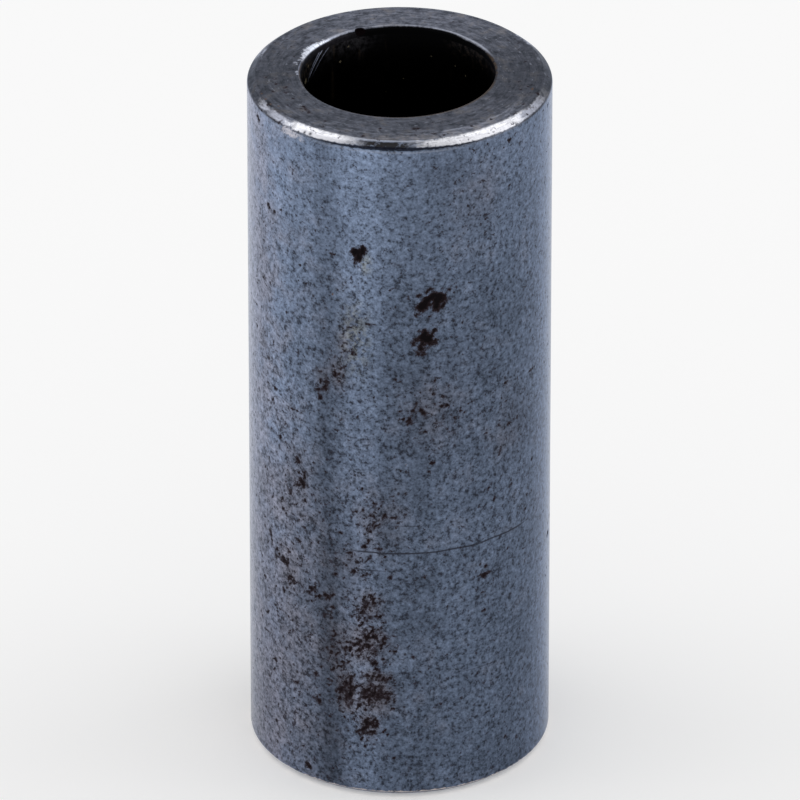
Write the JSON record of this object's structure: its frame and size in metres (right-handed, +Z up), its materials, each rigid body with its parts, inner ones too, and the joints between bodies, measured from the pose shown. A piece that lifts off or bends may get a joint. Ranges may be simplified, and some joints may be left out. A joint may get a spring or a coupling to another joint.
{
  "type": "spacer sleeve",
  "caption": "Thick-walled steel tube with a straight through bore, flat end faces and chamfered rims, that keeps two parts a set distance apart on a bolt or shaft.",
  "frame": {"origin": "centre of the outer wall's circle, on the lower end face", "axes": "+Z up the sleeve along the wall's axis; +X to the right and +Y to the back when the nicked side of the bore's mouth is at the back"},
  "size_m": [0.022, 0.022, 0.054],
  "materials": {
    "blued_steel": "drawn steel with a grey-blue oxide skin, dark pitting and a few rust spots, bright where the rim is turned"
  },
  "bodies": {
    "root": {"spacer_sleeve": "blued_steel"}
  },
  "joints": []
}
